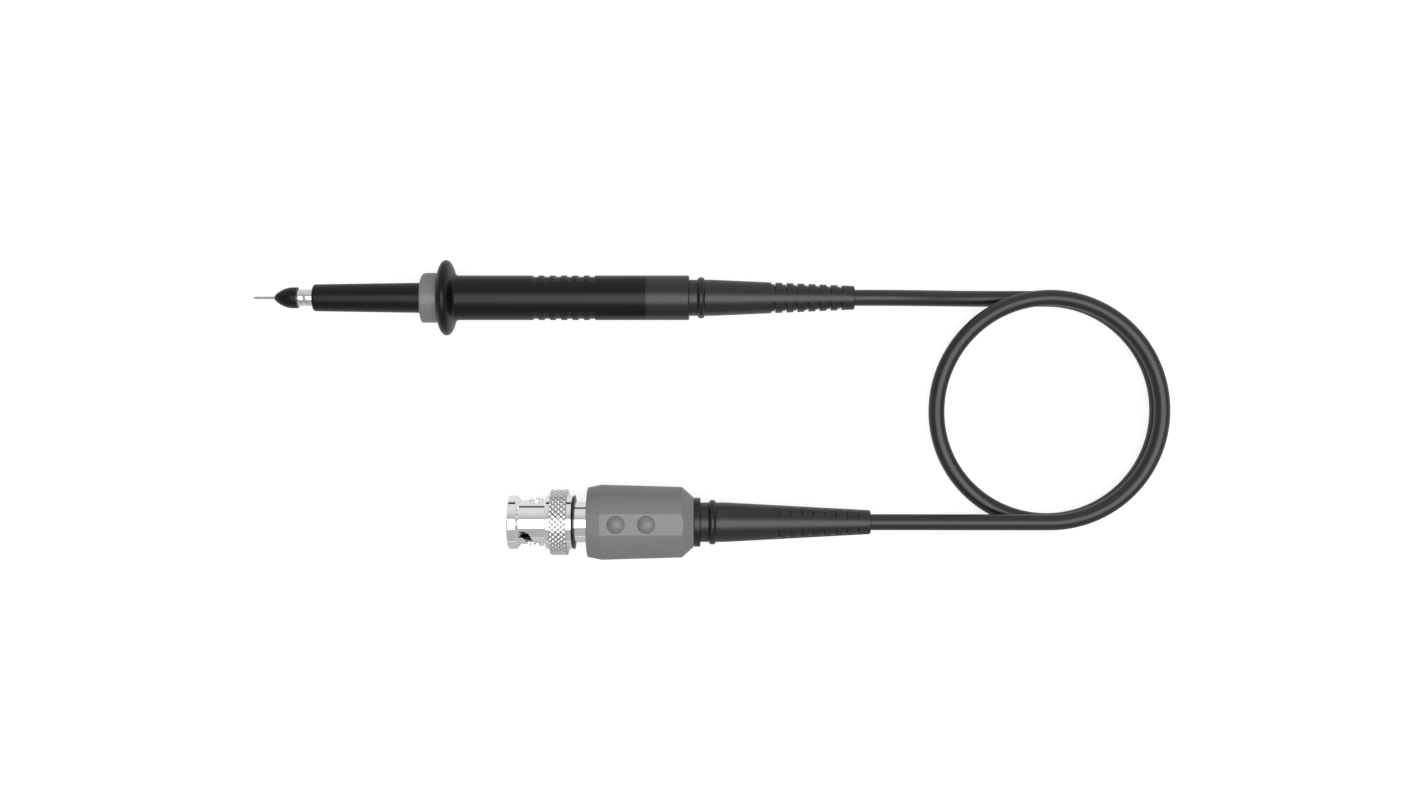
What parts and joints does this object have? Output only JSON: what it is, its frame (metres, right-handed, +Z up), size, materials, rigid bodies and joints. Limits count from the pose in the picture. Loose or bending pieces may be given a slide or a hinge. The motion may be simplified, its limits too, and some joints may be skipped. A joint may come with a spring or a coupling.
{
  "type": "oscilloscope probe",
  "caption": "Passive oscilloscope probe: needle tip, finger-guarded black handle, coaxial lead laid in a loop, grey compensation box and bayonet connector.",
  "frame": {"origin": "on the bench under the middle of the hand-held probe, from needle point to the end of its boot", "axes": "+X from the needle to the lead, +Y away from the plug, +Z up off the bench"},
  "size_m": [0.2391, 0.078, 0.0196],
  "materials": {
    "black_gloss": "moulded black plastic, semi gloss",
    "black_satin": "moulded black elastomer, satin",
    "black_lead": "extruded black jacket, satin",
    "black_ring": "moulded black elastomer, satin",
    "grey_plastic": "moulded grey plastic, fine matt grain",
    "bright_metal": "bright nickel plate on brass",
    "needle_steel": "ground steel",
    "spring_steel": "bright spring steel",
    "gold_plate": "gold plate",
    "brass": "drawn brass",
    "tin_plate": "tinned, satin",
    "white_insulator": "white fluoropolymer, waxy",
    "ceramic_board": "white alumina",
    "green_board": "green solder mask",
    "chip_dark": "black chip resistor",
    "chip_tan": "tan ceramic capacitor"
  },
  "bodies": {
    "root": {"nose_cone": "black_gloss", "nose_sleeve": "black_gloss", "handle": "black_gloss", "tail_sleeve": "black_satin", "probe_boot": "black_satin", "plug_boot": "black_satin", "cable_probe_run": "black_lead", "cable_loop": "black_lead", "cable_plug_run": "black_lead", "probe_cable_end": "black_lead", "plug_cable_end": "black_lead", "probe_marker_ring": "black_ring", "plug_marker_ring": "black_ring", "gland_ring": "black_ring", "dust_seal": "black_ring", "marker_collar": "grey_plastic", "box_body": "grey_plastic", "box_front_cap": "grey_plastic", "ground_barrel": "bright_metal", "connector_body": "bright_metal", "connector_lock_nut": "bright_metal", "needle_spring": "spring_steel", "spring_washer": "spring_steel", "tip_barrel": "gold_plate", "connector_pin": "gold_plate", "nose_conductor": "brass", "shield_tube": "brass", "shield_can": "tin_plate", "probe_ferrule": "tin_plate", "plug_ferrule": "tin_plate", "tip_insulator": "white_insulator", "connector_insulator": "white_insulator", "trimmer_bases": "white_insulator", "attenuator_board": "ceramic_board", "compensation_board": "green_board", "divider_resistor": "chip_dark", "compensation_chips": "chip_dark", "divider_capacitor": "chip_tan"},
    "needle": {"contact_needle": "needle_steel"},
    "nut_carrier": {"thrust_washer": "spring_steel"},
    "nut": {"coupling_nut": "bright_metal", "retaining_ring": "spring_steel"},
    "cover_front": {"trimmer_cover_front": "grey_plastic"},
    "cover_rear": {"trimmer_cover_rear": "grey_plastic"},
    "rotor_front": {"trimmer_rotor_front": "gold_plate"},
    "rotor_rear": {"trimmer_rotor_rear": "gold_plate"}
  },
  "joints": [
    {"name": "needle_press", "type": "slide", "parent": "root", "child": "needle", "axis": [1, 0, 0], "range_m": [0, 0.0015], "stiffness_N_per_m": 600, "springref_m": -0.001, "deforming": ["needle_spring"]},
    {"name": "nut_pull", "type": "slide", "parent": "root", "child": "nut_carrier", "axis": [-1, 0, 0], "range_m": [0, 0.0008], "stiffness_N_per_m": 6000, "springref_m": -0.0004, "deforming": ["spring_washer"]},
    {"name": "nut_turn", "type": "hinge", "parent": "nut_carrier", "child": "nut", "pos_m": [-0.0117, -0.0584, 0.0089], "axis": [1, 0, 0], "continuous": true},
    {"name": "cover_front_pull", "type": "slide", "parent": "root", "child": "cover_front", "axis": [0, 0, 1], "range_m": [0, 0.006]},
    {"name": "trimmer_front_turn", "type": "hinge", "parent": "root", "child": "rotor_front", "pos_m": [0.0166, -0.0584, 0.0089], "axis": [0, 0, 1], "continuous": true},
    {"name": "cover_rear_pull", "type": "slide", "parent": "root", "child": "cover_rear", "axis": [0, 0, 1], "range_m": [0, 0.006]},
    {"name": "trimmer_rear_turn", "type": "hinge", "parent": "root", "child": "rotor_rear", "pos_m": [0.0244, -0.0584, 0.0089], "axis": [0, 0, 1], "continuous": true}
  ]
}
